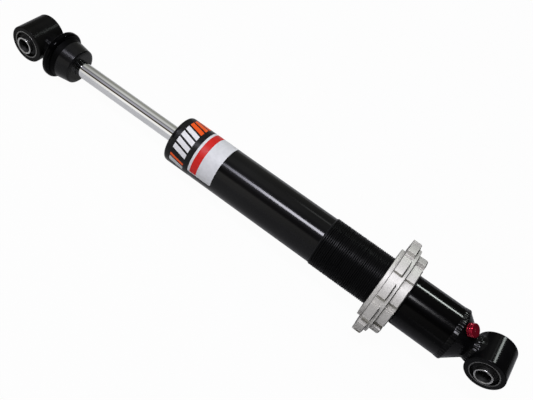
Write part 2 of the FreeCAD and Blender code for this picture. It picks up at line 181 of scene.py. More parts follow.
def arc(centre, radius, start, end, count=7):
    """(x, r) points on a circle, from one angle to another in degrees, measured from +x towards +r."""
    a = np.radians(np.linspace(start, end, count))
    return np.stack([centre[0] + radius * np.cos(a), centre[1] + radius * np.sin(a)], -1)


def run(start, end, count):
    """(x, r) points on a straight line without its ends; the outer two stay near them, so it shades flat."""
    start, end = np.asarray(start, float), np.asarray(end, float)
    near = min(RUN_END_GAP / np.linalg.norm(end - start), RUN_END_SHARE)
    t = np.linspace(near, 1 - near, count)[:, None]
    return start * (1 - t) + end * t


def shell(outer, inner):
    """A thin sheet from two matching grids: both grids' cells and a band of cells that joins their edges."""
    rows, columns = outer.shape[:2]
    count = rows * columns
    top = cells(rows, columns)
    index = np.arange(count).reshape(rows, columns)
    edge = np.concatenate([index[0, :-1], index[:-1, -1], index[-1, :0:-1], index[:0:-1, 0]])
    ahead = np.roll(edge, -1)
    band = np.stack([edge + count, ahead + count, ahead, edge], -1)
    points = np.concatenate([outer.reshape(-1, 3), inner.reshape(-1, 3)])
    return points, np.concatenate([top, top[:, ::-1] + count, band[:, ::-1]])


# Shader nodes

def spread(tree, value, low, high, first, last):
    """The value carried from low..high onto first..last, and held at the ends."""
    made = tree.nodes.new("ShaderNodeMapRange")
    made.inputs["From Min"].default_value = low
    made.inputs["From Max"].default_value = high
    made.inputs["To Min"].default_value = first
    made.inputs["To Max"].default_value = last
    tree.links.new(value, made.inputs["Value"])
    return made.outputs["Result"]


def mixed(tree, share, first, last):
    """One colour into another by share; each colour is three numbers or another node's output."""
    made = tree.nodes.new("ShaderNodeMix")
    made.data_type = "RGBA"
    tree.links.new(share, made.inputs["Factor"])
    for socket, colour in (("A", first), ("B", last)):
        if isinstance(colour, (tuple, list)):
            made.inputs[socket].default_value = (*colour, 1)
        else:
            tree.links.new(colour, made.inputs[socket])
    return made.outputs["Result"]


def mixed_value(tree, share, first, last):
    """One node's value into a plain number by share."""
    made = tree.nodes.new("ShaderNodeMix")
    tree.links.new(share, made.inputs["Factor"])
    tree.links.new(first, made.inputs["A"])
    made.inputs["B"].default_value = last
    return made.outputs["Result"]


def worked(tree, operation, *terms):
    """The value of one Math node; each term is a plain number or another node's output."""
    made = tree.nodes.new("ShaderNodeMath")
    made.operation = operation
    for socket, term in zip(made.inputs, terms):
        if isinstance(term, float):
            socket.default_value = term
        else:
            tree.links.new(term, socket)
    return made.outputs["Value"]


def split(tree, vector):
    """The X, Y and Z of a vector, by name."""
    made = tree.nodes.new("ShaderNodeSeparateXYZ")
    tree.links.new(vector, made.inputs["Vector"])
    return made.outputs


def turning_place(tree, place, axis, centre):
    """(station along the axis, distance from the axis, 0), with the distance as the root of two squares."""
    apart = split(tree, place)
    squares = []
    for name, middle in zip([k for k in "XYZ" if k != axis], centre):
        offset = worked(tree, "SUBTRACT", apart[name], middle)
        squares.append(worked(tree, "MULTIPLY", offset, offset))
    joined = tree.nodes.new("ShaderNodeCombineXYZ")
    tree.links.new(apart[axis], joined.inputs["X"])
    tree.links.new(worked(tree, "SQRT", worked(tree, "ADD", *squares)), joined.inputs["Y"])
    return joined.outputs["Vector"]


# Finishes

NOISE_SPAN = (0.3, 0.7)
BORE_EDGE = 0.25
STATION_EDGE = 0.2


def finish(name, dark, light, rough, metallic=0.0, grain=400.0, bump=0.0, depth=0.00004, turned=None,
           specular=0.5, coat=0.0, coat_rough=0.05, detail=4.0, weave=None, bore=None, painted_shading=None,
           beyond=None):
    """A finish whose colour, roughness and bump all follow one noise.

    The noise reads Object coordinates times grain, or times weave along X, Y and Z. With turned=(axis,
    centre) it reads the station along that axis and the distance from it instead, so that it draws fine
    turning rings. With bore=(radius, share, roughness) the colour goes to that share of dark, and the
    roughness to that roughness, inside the radius, as painted shade in a bore. With the point mark's
    (share, roughness) they do so where the piece's own point mark is 1, so that a share below 1 paints shade
    and one above 1 paints a highlight, and with beyond=(station, share, roughness) past that station along
    X.
    """
    made = bpy.data.materials.new(name)
    made.use_nodes = True
    tree = made.node_tree
    shader = tree.nodes["Principled BSDF"]
    place = tree.nodes.new("ShaderNodeTexCoord").outputs["Object"]
    if turned:
        place = turning_place(tree, place, *turned)
    scale = tree.nodes.new("ShaderNodeMapping")
    scale.inputs["Scale"].default_value = weave or (grain, grain, grain)
    tree.links.new(place, scale.inputs["Vector"])
    noise = tree.nodes.new("ShaderNodeTexNoise")
    noise.inputs["Scale"].default_value = 1.0
    noise.inputs["Detail"].default_value = detail
    tree.links.new(scale.outputs["Vector"], noise.inputs["Vector"])
    even = noise.outputs["Fac"]
    tone = mixed(tree, spread(tree, even, *NOISE_SPAN, 0.0, 1.0), dark, light)
    blur = spread(tree, even, *NOISE_SPAN, *rough)
    changes = []
    if bore:
        radius, *look = bore
        inside = spread(tree, split(tree, place)["Y"], radius * MM, (radius - BORE_EDGE) * MM, 0.0, 1.0)
        changes.append((inside, look))
    if painted_shading:
        mark = tree.nodes.new("ShaderNodeAttribute")
        mark.attribute_name = "painted_shading"
        changes.append((mark.outputs["Fac"], painted_shading))
    if beyond:
        station, *look = beyond
        low, high = (station - STATION_EDGE) * MM, (station + STATION_EDGE) * MM
        changes.append((spread(tree, split(tree, place)["X"], low, high, 0.0, 1.0), look))
    for amount, (share, roughness) in changes:
        tone = mixed(tree, amount, tone, [share * part for part in dark])
        blur = mixed_value(tree, amount, blur, roughness)
    tree.links.new(tone, shader.inputs["Base Color"])
    tree.links.new(blur, shader.inputs["Roughness"])
    if bump:
        relief = tree.nodes.new("ShaderNodeBump")
        relief.inputs["Strength"].default_value = bump
        relief.inputs["Distance"].default_value = depth
        tree.links.new(even, relief.inputs["Height"])
        tree.links.new(relief.outputs["Normal"], shader.inputs["Normal"])
    shader.inputs["Metallic"].default_value = metallic
    shader.inputs["Specular IOR Level"].default_value = specular
    shader.inputs["Coat Weight"].default_value = coat
    shader.inputs["Coat Roughness"].default_value = coat_rough
    return made


ABOUT_X = ("X", (0.0, 0.0))
ABOUT_ROD_BOLT = ("Y", (0.0, 0.0))
ABOUT_BODY_BOLT = ("Y", (BODY_EYE_X * MM, 0.0))
DRAWN = (40, 25, 25)
BEAD_DARK = (0.0018, 0.0018, 0.0019)
BEAD_LIGHT = (0.0034, 0.0034, 0.0036)
# Radius, share of dark and roughness inside a sleeve's bore: painted shade
SLEEVE_BORE_SHADE = (5.75, 0.32, 0.50)


def print_film(name, dark, light):
    """Satin printed film, faintly uneven."""
    return finish(name, dark, light, (0.38, 0.48), grain=300, bump=0.03, specular=0.25)


def sleeve_zinc(name, about):
    """Zinc turned about a bolt's axis, darker and duller in its bore: painted shade there."""
    return finish(name, (0.40, 0.40, 0.39), (0.54, 0.54, 0.52), (0.24, 0.32),
                  metallic=1.0, grain=1500, turned=about, detail=1.0, bore=SLEEVE_BORE_SHADE)


def lathe_metal(name, dark, light, rough, metallic=1.0, grain=4000, bump=0.12):
    """Metal with fine turning rings about the shock's axis."""
    return finish(name, dark, light, rough, metallic=metallic, grain=grain, turned=ABOUT_X, bump=bump)


eye_paint = finish("eye_paint", (0.0018, 0.0018, 0.0020), (0.0034, 0.0034, 0.0036), (0.14, 0.17),
                   grain=60, detail=1.0, specular=0.09)
boss_paint = finish("boss_paint", (0.0040, 0.0039, 0.0036), (0.0062, 0.0061, 0.0057), (0.21, 0.25),
                    grain=60, detail=1.0, specular=0.05)
cup_paint = finish("cup_paint", (0.0008, 0.0008, 0.0009), (0.0013, 0.0013, 0.0014), (0.07, 0.10),
                   grain=90, detail=1.0, specular=0.035, beyond=(CUP_COLLAR_START, 1.0, 0.55))
# Past the thread's end the colour falls to 0.30 of dark: painted shade on the lower tube
tube_black = finish("tube_black", (0.0036, 0.0036, 0.0038), (0.0052, 0.0052, 0.0055), (0.12, 0.14),
                    weave=DRAWN, detail=1.0, specular=0.19, beyond=(THREAD_END, 0.30, 0.13))
# On the bevel at the thread's start the colour rises fivefold: a painted highlight
thread_black = finish("thread_black", (0.0026, 0.0026, 0.0027), (0.0038, 0.0038, 0.0039), (0.27, 0.33),
                      weave=DRAWN, detail=1.0, specular=0.05, painted_shading=(5.0, 0.40))
bead_black = finish("bead_black", BEAD_DARK, BEAD_LIGHT, (0.11, 0.15), grain=200, detail=1.0, specular=0.12)
bead_dull = finish("bead_dull", BEAD_DARK, BEAD_LIGHT, (0.22, 0.28), grain=200, detail=1.0, specular=0.03)
film_black = finish("film_black", (0.005, 0.005, 0.0055), (0.008, 0.008, 0.0085), (0.30, 0.38),
                    grain=500, bump=0.03, specular=0.15)
film_white = print_film("film_white", (0.70, 0.70, 0.70), (0.78, 0.78, 0.78))
film_grey = print_film("film_grey", (0.62, 0.63, 0.63), (0.70, 0.71, 0.71))
film_orange = print_film("film_orange", (0.80, 0.080, 0.005), (0.88, 0.110, 0.008))
film_red = print_film("film_red", (0.54, 0.010, 0.008), (0.64, 0.018, 0.012))
rod_chrome = finish("rod_chrome", (0.66, 0.665, 0.675), (0.73, 0.735, 0.745), (0.04, 0.055),
                    metallic=1.0, weave=DRAWN, detail=2.0)
shell_steel = finish("shell_steel", (0.13, 0.13, 0.125), (0.20, 0.20, 0.19), (0.26, 0.38),
                     metallic=1.0, grain=900, bump=0.05)
rod_sleeve_zinc = sleeve_zinc("rod_sleeve_zinc", ABOUT_ROD_BOLT)
body_sleeve_zinc = sleeve_zinc("body_sleeve_zinc", ABOUT_BODY_BOLT)
# Where a ring's mark is 1 the colour falls to 0.14 of dark and it roughens: painted shade at lug ends, walls
# and corners
ring_alloy = finish("ring_alloy", (0.485, 0.477, 0.439), (0.715, 0.703, 0.652), (0.46, 0.58),
                    metallic=0.35, grain=1700, bump=0.35, depth=0.00008, detail=8.0, painted_shading=(0.14, 0.55))
bush_rubber = finish("bush_rubber", (0.0025, 0.0025, 0.0025), (0.0050, 0.0050, 0.0050), (0.45, 0.60),
                     grain=1200, bump=0.15, specular=0.15)
stop_rubber = finish("stop_rubber", (0.0048, 0.0048, 0.0050), (0.0070, 0.0070, 0.0073), (0.20, 0.25),
                     grain=300, bump=0.02, specular=0.15)
seal_rubber = finish("seal_rubber", (0.010, 0.010, 0.010), (0.018, 0.018, 0.018), (0.40, 0.55),
                     grain=1200, bump=0.10)
# Where the cap's mark is 1 the colour falls to 0.10 of dark: painted shade in its two grooves
cap_red = finish("cap_red", (0.38, 0.003, 0.024), (0.50, 0.006, 0.036), (0.15, 0.21), metallic=0.80,
                 grain=1500, bump=0.04, coat=0.25, coat_rough=0.08, painted_shading=(0.10, 0.20))
brass = finish("valve_brass", (0.62, 0.42, 0.15), (0.72, 0.50, 0.20), (0.24, 0.34),
               metallic=1.0, grain=1500, bump=0.05)
head_alloy = lathe_metal("head_alloy", (0.20, 0.20, 0.21), (0.27, 0.27, 0.28), (0.28, 0.38), metallic=0.9)
inner_alloy = lathe_metal("inner_alloy", (0.60, 0.60, 0.61), (0.72, 0.72, 0.73), (0.26, 0.36))
inner_steel = lathe_metal("inner_steel", (0.45, 0.45, 0.46), (0.58, 0.58, 0.59), (0.24, 0.36))
bronze = lathe_metal("guide_bronze", (0.42, 0.26, 0.12), (0.52, 0.33, 0.16), (0.30, 0.42),
                     grain=2500, bump=0.10)
band_plastic = finish("band_plastic", (0.10, 0.07, 0.04), (0.15, 0.10, 0.06), (0.40, 0.52),
                      grain=1500, bump=0.08)
bumper_rubber = finish("bumper_rubber", (0.020, 0.020, 0.020), (0.030, 0.030, 0.030), (0.45, 0.55),
                       grain=900, bump=0.10)

NODE_FINISH = {
    "rod_eye": boss_paint, "rod_end_boss": boss_paint, "body_eye": eye_paint, "body_end": eye_paint,
    "bump_stop_cup": cup_paint, "piston_rod": rod_chrome,
    "rod_bush_shell": shell_steel, "body_bush_shell": shell_steel,
    "rod_bush_rubber": bush_rubber, "body_bush_rubber": bush_rubber,
    "rod_eye_sleeve": rod_sleeve_zinc, "body_eye_sleeve": body_sleeve_zinc,
    "valve_stem": brass, "valve_pin": brass, "seal_head": head_alloy, "retaining_clip": inner_steel,
    "rod_wiper": seal_rubber, "rod_seal": seal_rubber, "seal_head_ring": seal_rubber, "guide_bush": bronze,
    "top_out_bumper": bumper_rubber, "top_out_spacer": inner_alloy, "shim_washers": inner_steel,
    "rebound_shims": inner_steel, "compression_shims": inner_steel,
    "piston": inner_alloy, "piston_band": band_plastic, "piston_nut": inner_steel,
    "floating_piston": inner_alloy, "floating_piston_band": band_plastic,
    "floating_piston_ring": seal_rubber, "bleed_screw": inner_steel,
}
for node, look in NODE_FINISH.items():
    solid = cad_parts[node]
    solid.data.materials.clear()
    solid.data.materials.append(look)


# Body tube

TUBE_COLUMNS = 192
TUBE_CREASE = 65
WAIST_END = 0.3
LOWER_BEVEL = 0.2
THREAD_COLUMNS = 112
THREAD_PITCH = 1.5
THREAD_DEPTH = 0.5
THREAD_WALL = 0.8
THREAD_SINK = 0.1
THREAD_OVERRUN = 0.1
STEPS_PER_PITCH = 12
CREST_SHARE = 0.50
FLANK_SHARE = 0.40
EASE_IN_LEAD = 0.2
EASE_IN_LENGTH = 1.2
EASE_OUT_LEAD = 1.0
EASE_OUT_LENGTH = 1.5


def gloss_tube():
    """Closed (x, r) outline carried round X.

    It is a rounded rim, a plain length, a waist under the thread, the lower length, the bore and the clip's
    groove.
    """
    waist_r = THREAD_R - THREAD_WALL
    lower_start, lower_end = THREAD_END + LOWER_BEVEL, TUBE_END - SEAM_DEPTH
    outline = np.concatenate([
        [(TUBE_START, BORE_R)],
        arc((TUBE_START + RIM_ROUND, TUBE_R - RIM_ROUND), RIM_ROUND, 180, 90, count=9),
        run((TUBE_START + RIM_ROUND, TUBE_R), (THREAD_START, TUBE_R), count=20),
        [(THREAD_START, TUBE_R), (THREAD_START + WAIST_END, waist_r), (THREAD_END - WAIST_END, waist_r),
         (THREAD_END, LOWER_R - LOWER_BEVEL), (lower_start, LOWER_R)],
        run((lower_start, LOWER_R), (lower_end, LOWER_R), count=8),
        [(lower_end, LOWER_R), (TUBE_END, LOWER_R - SEAM_DEPTH), (TUBE_END, BORE_R)],
        run((TUBE_END, BORE_R), (HEAD_START, BORE_R), count=12),
        [(HEAD_START, BORE_R), (HEAD_START, CLIP_GROOVE_R),
         (CLIP_START, CLIP_GROOVE_R), (CLIP_START, BORE_R)]])
    return carried_round(outline, TUBE_COLUMNS)


def tube_thread():
    """A sleeve whose outside radius sinks by a flat-topped vee of x/pitch less the turn.

    It is eased in and out at its two ends. The returned mark is 1 on the bevel at its start, whose colour
    its finish lifts as a painted highlight.
    """
    crest = THREAD_START + THREAD_CHAMFER
    steps = int((THREAD_END - crest) / THREAD_PITCH * STEPS_PER_PITCH)
    under_r = THREAD_R - THREAD_WALL - THREAD_SINK
    outline = np.concatenate([
        [(THREAD_START, under_r), (THREAD_START, TUBE_R)],
        run((THREAD_START, TUBE_R), (crest, THREAD_R), count=2),
        run((crest - THREAD_OVERRUN, THREAD_R), (THREAD_END + THREAD_OVERRUN, THREAD_R), steps),
        [(THREAD_END, THREAD_R), (THREAD_END, under_r)]])
    clock = clocks(THREAD_COLUMNS)
    x, r = outline[:, :1], outline[:, 1:]
    ease_in = np.clip((x - crest + EASE_IN_LEAD) / EASE_IN_LENGTH, 0, 1)
    ease_out = np.clip((THREAD_END - EASE_OUT_LEAD - x) / EASE_OUT_LENGTH, 0, 1)
    threaded = np.where(r == THREAD_R, ease_in * ease_out, 0.0)
    turn = np.mod(x / THREAD_PITCH - clock / TURN, 1.0)
    groove = np.clip((np.abs(2 * turn - 1) - CREST_SHARE) / FLANK_SHARE, 0, 1)
    points = around_axis(x, r - THREAD_DEPTH * threaded * groove, clock)
    # The bevel at the start, marked for a painted highlight
    edge = np.broadcast_to((x > THREAD_START) & (x < crest), points.shape[:2])
    return points, closed_cells(points), edge


piece("gloss_tube", *gloss_tube(), tube_black, "shock_body", ("body_tube",), "black_tube", TUBE_CREASE)
points, quads, edge = tube_thread()
piece("tube_thread", points, quads, thread_black, "shock_body", slot="black_tube", crease=TUBE_CREASE,
      painted_shading=edge)


# Bump stop

STOP_COLUMNS = 160
STOP_RIM_ALONG = 1.6
STOP_RIM_ACROSS = 4.0
STOP_RIM_POINTS = 19
STOP_EDGE = 0.2
STOP_EDGE_DROP = 0.03
STOP_CORNER = (0.05, 0.06)


def rubber_stop():
    """(x, r) outline carried round X: a cone from the collar to a tip whose rim is part of an ellipse.

    The ellipse starts where its slope is the cone's and ends square to the axis.
    """
    slope = (STOP_BASE_R - STOP_TIP_R) / (STOP_END - STOP_START)
    tangent = math.pi / 2 - math.atan(STOP_RIM_ALONG / STOP_RIM_ACROSS * slope)
    turn = np.linspace(tangent, 0, STOP_RIM_POINTS)
    rim_x = STOP_END - STOP_RIM_ALONG * (1 - np.cos(turn))
    foot_r = STOP_BASE_R - (rim_x[0] - STOP_START) * slope
    rim = np.stack([rim_x, foot_r + STOP_RIM_ACROSS * (np.sin(turn) - math.sin(turn[0]))], -1)
    cone_start = (STOP_START + STOP_EDGE, STOP_BASE_R - STOP_EDGE_DROP)
    bore_edge_r = STOP_BORE_R + STOP_EDGE
    outline = np.concatenate([
        [(STOP_START, STOP_BORE_R)],
        run((STOP_START, STOP_BORE_R), (STOP_START, STOP_BASE_R - STOP_EDGE), count=4),
        [(STOP_START + STOP_CORNER[0], STOP_BASE_R - STOP_CORNER[1]), cone_start],
        run(cone_start, rim[0], count=8), rim,
        run(rim[-1], (STOP_END, bore_edge_r), count=4),
        arc((STOP_END - STOP_EDGE, bore_edge_r), STOP_EDGE, 0, -90, count=5),
        run((STOP_END - STOP_EDGE, STOP_BORE_R), (STOP_START, STOP_BORE_R), count=4)])
    return carried_round(outline, STOP_COLUMNS)


piece("rubber_stop", *rubber_stop(), stop_rubber, "rod_assembly", ("bump_stop",), "bump_rubber")


# Label film near the rod end

FILM_ROWS = 17
FILM_SINK = 0.03
FILM_LIFT = 0.06
PRINT_LIFT = 0.09
BLACK_SPAN = (149.2, 169.2)
BLACK_CLOCKS = (-150.0, 138.0)
BLACK_CORNER = 2.0
BLACK_COLUMNS = 110
PALE_SPAN = (169.6, 191.2)
PALE_CLOCKS = (-125.0, 98.5)
PALE_CORNER = 1.6
PALE_COLUMNS = 90
RED_SPAN = (171.6, 177.6)
RED_CLOCKS = (-122.5, 96.0)
RED_CORNER = 0.5
BAR_SPAN = (152.4, 165.0)
BAR_SLANT = 0.75
BAR_COLUMNS = 10
FIRST_BAR = 58.0
BAR_PITCH = 17.0
BAR_WIDTH = 12.0
BARS = 7
WHITE_BARS = 4
LONE_BAR = (84.0, 90.0)
GREY_BAR = (94.0, 106.0)


def film_patch(x_span, clock_span, lift, slant=0.0, corner=0.0, columns=BAR_COLUMNS):
    """Outside and inside of a patch of film on the tube, in stations x and clock angles in degrees.

    The clock angles shift by slant per millimetre of x. Near the patch's edges their two ends draw in by
    corner - sqrt(corner^2 - d^2), which rounds its corners.
    """
    t = (1 - np.cos(np.linspace(0, np.pi, FILM_ROWS))) / 2
    x = x_span[0] + (x_span[1] - x_span[0]) * t
    near = np.clip(corner - np.minimum(x - x_span[0], x_span[1] - x), 0, corner)
    drawn = np.degrees((corner - np.sqrt(np.maximum(corner ** 2 - near ** 2, 0))) / TUBE_R)
    middle = slant * (x - np.mean(x_span))
    low, high = clock_span[0] + drawn + middle, clock_span[1] - drawn + middle
    along = np.linspace(0, 1, columns)[None, :]
    clock = np.radians(low[:, None] * (1 - along) + high[:, None] * along)
    outer = around_axis(x[:, None], TUBE_R + lift, clock)
    return outer, around_axis(x[:, None], TUBE_R - FILM_SINK, clock)


def film_bars(spans):
    """Several slanted patches as one mesh: each bar's faces are counted on from the bar before it."""
    shells = [shell(*film_patch(BAR_SPAN, span, PRINT_LIFT, BAR_SLANT)) for span in spans]
    starts = np.cumsum([0] + [len(points) for points, quads in shells[:-1]])
    return (np.concatenate([points for points, quads in shells]),
            np.concatenate([quads + start for (points, quads), start in zip(shells, starts)]))


black_film = film_patch(BLACK_SPAN, BLACK_CLOCKS, FILM_LIFT, corner=BLACK_CORNER, columns=BLACK_COLUMNS)
piece("label_black_film", *shell(*black_film), film_black, "shock_body")
pale_film = film_patch(PALE_SPAN, PALE_CLOCKS, FILM_LIFT, corner=PALE_CORNER, columns=PALE_COLUMNS)
piece("label_white_border", *shell(*pale_film), film_grey, "shock_body")
red_print = film_patch(RED_SPAN, RED_CLOCKS, PRINT_LIFT, corner=RED_CORNER, columns=PALE_COLUMNS)
piece("label_red_band", *shell(*red_print), film_red, "shock_body")
bars = [(start, start + BAR_WIDTH) for start in FIRST_BAR - BAR_PITCH * np.arange(BARS)]
piece("label_white_bars", *film_bars(bars[:WHITE_BARS]), film_white, "shock_body")
piece("label_orange_bars", *film_bars(bars[WHITE_BARS:] + [LONE_BAR]), film_orange, "shock_body")
piece("label_grey_bar", *film_bars([GREY_BAR]), film_grey, "shock_body")


# Weld beads

BEAD_CREASE = 80
BEAD_SINK = 0.05
RIPPLE_PITCH = 2.45
SEAM_COLUMNS = 960
SEAM_ROWS = 25
SEAM_HALF_WIDTH = 2.5
SEAM_CLIMB = 1.7
SEAM_FALL = 0.3
SEAM_RISE = 0.36
SEAM_SCALLOP = 0.16
SEAM_FADE = 4
SEAM_BOW = 0.2
SEAM_LEAN = 0.6
SEAM_UNDER_HALF = 1.2
SEAM_UNDER_DEPTH = 0.9
SADDLE_COLUMNS = 640
SADDLE_ROWS = 21
SADDLE_REACH = 16.8
SADDLE_CREST_BACK = 3.2
SADDLE_CREST_RISE = 0.5
SADDLE_CREST_ACROSS = 0.2
SADDLE_SWELL_ACROSS = 0.6
SADDLE_HOLLOW_POWER = 1.4
SADDLE_EYE_SINK = 0.25
SADDLE_UNDER = 0.6
SADDLE_BOW = 0.25


def ripple(along, across, lap, bow, lean):
    """Scallops, 0 to 1, as a raised cosine of phase + lean cos(phase).

    With a lean they rise gently and fall steeply. The phase follows the distance along the bead, bowed back
    by the square of the distance across. A whole number of ripples, each about RIPPLE_PITCH long, goes into
    the lap.
    """
    pitch = lap / round(lap / RIPPLE_PITCH)
    phase = TURN * (along / pitch - bow * across ** 2)
    return 0.5 - 0.5 * np.cos(phase + lean * np.cos(phase))


def seam_bead():
    """A strip round the tube's end whose radius climbs a slow ramp from the tube and falls to the cone.

    The ramp is the lesser of two slopes, with scallops on it, and the strip closes underneath.
    """
    clock = clocks(SEAM_COLUMNS)
    across = np.linspace(-1, 1, SEAM_ROWS)[:, None]
    ramp = np.minimum((across + 1) / SEAM_CLIMB, (1 - across) / SEAM_FALL)
    scallops = ripple(clock * LOWER_R, across, TURN * LOWER_R, SEAM_BOW, SEAM_LEAN)
    crown = SEAM_RISE * ramp + SEAM_SCALLOP * np.minimum(SEAM_FADE * ramp, 1) * scallops
    top = around_axis(TUBE_END + SEAM_HALF_WIDTH * across, LOWER_R - BEAD_SINK + crown, clock)
    under_x = TUBE_END + SEAM_UNDER_HALF * np.array([[1.0], [0.0], [-1.0]])
    points = np.concatenate([top, around_axis(under_x, LOWER_R - SEAM_UNDER_DEPTH, clock)])
    return points, closed_cells(points)


def saddle_bead(eye_x, side, neck_r, eye_leg, lump):
    """A fillet along the curve where neck and eye meet, at x = eye_x + side * sqrt(eye radius^2 - z^2).

    Its foot on the neck keeps one station. From there a slow ramp climbs to a crest beside the eye, and a
    hollow runs on to a foot on the eye. The ramp swells by lump with the ripple of the distance round the
    neck, and the section goes back through the corner under it.
    """
    turn = clocks(SADDLE_COLUMNS)
    neck_out = np.stack([np.zeros_like(turn), -np.sin(turn), np.cos(turn)], -1)
    root = neck_r * neck_out
    root[:, 0] = eye_x + side * np.sqrt(EYE_R ** 2 - root[:, 2] ** 2)
    eye_out = np.stack([root[:, 0] - eye_x, np.zeros_like(turn), root[:, 2]], -1) / EYE_R
    lean = np.sum(neck_out * eye_out, -1, keepdims=True)
    up_eye = (neck_out - lean * eye_out) / np.sqrt(1 - lean ** 2)
    foot_neck = (neck_r - BEAD_SINK) * neck_out
    foot_neck[:, 0] = eye_x + side * SADDLE_REACH
    crest = (neck_r + SADDLE_CREST_RISE) * neck_out
    crest[:, 0] = eye_x + side * (SADDLE_REACH - SADDLE_CREST_BACK)
    foot_eye = root + eye_leg * up_eye - SADDLE_EYE_SINK * eye_out
    across = np.linspace(-1, 1, SADDLE_ROWS)[:, None]
    ramp = np.clip((across + 1) / (1 + SADDLE_CREST_ACROSS), 0, 1)[..., None]
    hollow = np.clip((across - SADDLE_CREST_ACROSS) / (1 - SADDLE_CREST_ACROSS), 0, 1)[..., None]
    swell = lump * np.sin(np.pi * np.clip((across + 1) / (1 + SADDLE_SWELL_ACROSS), 0, 1))
    swell = swell * ripple(turn[None, :] * neck_r, across, TURN * neck_r, SADDLE_BOW, 0.0)
    section = (foot_neck[None] + ramp * (crest - foot_neck)[None]
               + hollow ** SADDLE_HOLLOW_POWER * (foot_eye - crest)[None]
               + swell[..., None] * neck_out[None])
    under = root - SADDLE_UNDER * neck_out - SADDLE_UNDER * eye_out
    points = np.concatenate([section, under[None]])
    return points, closed_cells(points)


piece("seam_bead", *seam_bead(), bead_black, "shock_body", ("tube_end_weld",), "weld_black", BEAD_CREASE)
body_bead = saddle_bead(BODY_EYE_X, -1, NECK_R, eye_leg=2.0, lump=0.30)
piece("body_eye_bead", *body_bead, bead_black, "shock_body", ("body_eye_weld",), "weld_black", BEAD_CREASE)
rod_bead = saddle_bead(0.0, 1, BOSS_R, eye_leg=1.8, lump=0.12)
piece("rod_eye_bead", *rod_bead, bead_dull, "rod_assembly", ("rod_eye_weld",), "weld_black", BEAD_CREASE)


# Castellated rings

RING_CREASE = 50
EDGE_ROUND = 0.25
FOOT_ROUND = 0.3
FOOT_SOFT = 0.08
BEVEL_LEAD = 0.10
BEVEL_TOP = ((-BEVEL_LEAD, 0.0), (0.0, -0.02), (0.12, -0.12))
BEVEL_FOOT = ((-0.10, 0.08), (0.0, -0.06))
LOCK_FACE_INSET = 0.6
SLOT_POINTS = 3
QUARTER_POINTS = 6
TOP_POINTS = 8
RIM_POINTS = 4
WALL_SPARE = 0.3
# Strengths of the painted shade on walls and on marked corners
WALL_SHADE = 0.35
CORNER_SHADE = 0.6
LEAST_WALL = 1.0


def lug_columns(count, slot, floor_r, lug_r, clock):
    """Columns round the ring, each with what places it.

    That is its distance from the slot's middle plane, its way along the lug's top, its rise, side and start.
    Half a pitch runs from a slot's middle out to the wall, whose foot and top are quarter circles and whose
    face is parallel to the slot's middle plane, and on to the lug's middle. It is mirrored and repeated for
    every lug.
    """
    quarter = np.radians(np.linspace(0, 90, QUARTER_POINTS))
    foot = slot / 2 - FOOT_ROUND
    out = np.concatenate([
        np.linspace(0, foot - RUN_END_GAP, SLOT_POINTS), foot + FOOT_ROUND * np.sin(quarter),
        slot / 2 + EDGE_ROUND * (1 - np.cos(quarter))])
    radius = np.concatenate([
        np.full(SLOT_POINTS, floor_r), floor_r + FOOT_ROUND * (1 - np.cos(quarter)),
        lug_r - EDGE_ROUND * (1 - np.sin(quarter))])
    rise = (radius - floor_r) / (lug_r - floor_r)
    wall, half = math.asin(out[-1] / lug_r), math.pi / count
    top = (np.linspace(wall + RUN_END_GAP / lug_r, half, TOP_POINTS) - wall) / (half - wall)
    top = np.append(np.zeros(len(out)), top)
    out = np.append(out, np.full(TOP_POINTS, out[-1]))
    rise = np.append(rise, np.ones(TOP_POINTS))
    out, rise, top = (np.tile(np.append(part, part[-2:0:-1]), count) for part in (out, rise, top))
    pitch = len(out) // count
    side = np.where(np.arange(pitch) <= pitch // 2, 1.0, -1.0)
    starts = np.radians(clock) + (np.arange(count)[:, None] + 0.5) * 2 * half
    starts = starts + np.where(side > 0, 0.0, 2 * half)
    return out, top, rise, np.tile(side, count), starts.ravel(), half


def stretch(slot_points, lug_points, bevelled=(0, 0), corner=(0, 0)):
    """A stretch of both outlines, with its marks of painted shade: 1 from a first point up to a last one, 0
    elsewhere.
    """
    marks = np.zeros((2, len(slot_points)))
    marks[0, slice(*bevelled)] = 1.0
    marks[1, slice(*corner)] = 1.0
    return slot_points, lug_points, *marks


def castellated(stretches, out, top, rise, side, starts, half):
    """Two matching (x, r) outlines, through a slot and through a lug, carried round X.

    Each column mixes them by its rise. A wall's clock angle at radius r is arcsin(out / r), and the lug's
    top shares out the rest of the half pitch. Below the lugs, out grows by a little of the rise, so that the
    wall's columns stay apart where there is no wall. The returned mark of painted shade is full on a lug's
    bevelled end, weaker along marked corners and faces, and lightest on the walls, where it follows 4 rise
    (1 - rise).
    """
    slot_outline, lug_outline, bevelled, corner = (np.concatenate(part) for part in zip(*stretches))
    outline = slot_outline[:, None, :] + rise[None, :, None] * (lug_outline - slot_outline)[:, None, :]
    lift = lug_outline[:, 1:] - slot_outline[:, 1:]
    spare = WALL_SPARE * rise * (1 - np.clip(4 * lift / lift.max() - 2, 0, 1))
    wall = np.arcsin((out + spare) / outline[..., 1])
    points = around_axis(outline[..., 0], outline[..., 1], starts + side * (wall + top * (half - wall)))
    walled = np.linalg.norm(lug_outline - slot_outline, axis=-1)[:, None] > LEAST_WALL
    painted_shading = np.maximum(bevelled[:, None] * rise ** 2, WALL_SHADE * walled * 4 * rise * (1 - rise))
    painted_shading = np.maximum(painted_shading, CORNER_SHADE * corner[:, None])
    return points, closed_cells(points), painted_shading


def near_edge(x, r):
    """A rounded corner from the near side face at x onto the rim at r."""
    return arc((x + EDGE_ROUND, r - EDGE_ROUND), EDGE_ROUND, 180, 90)


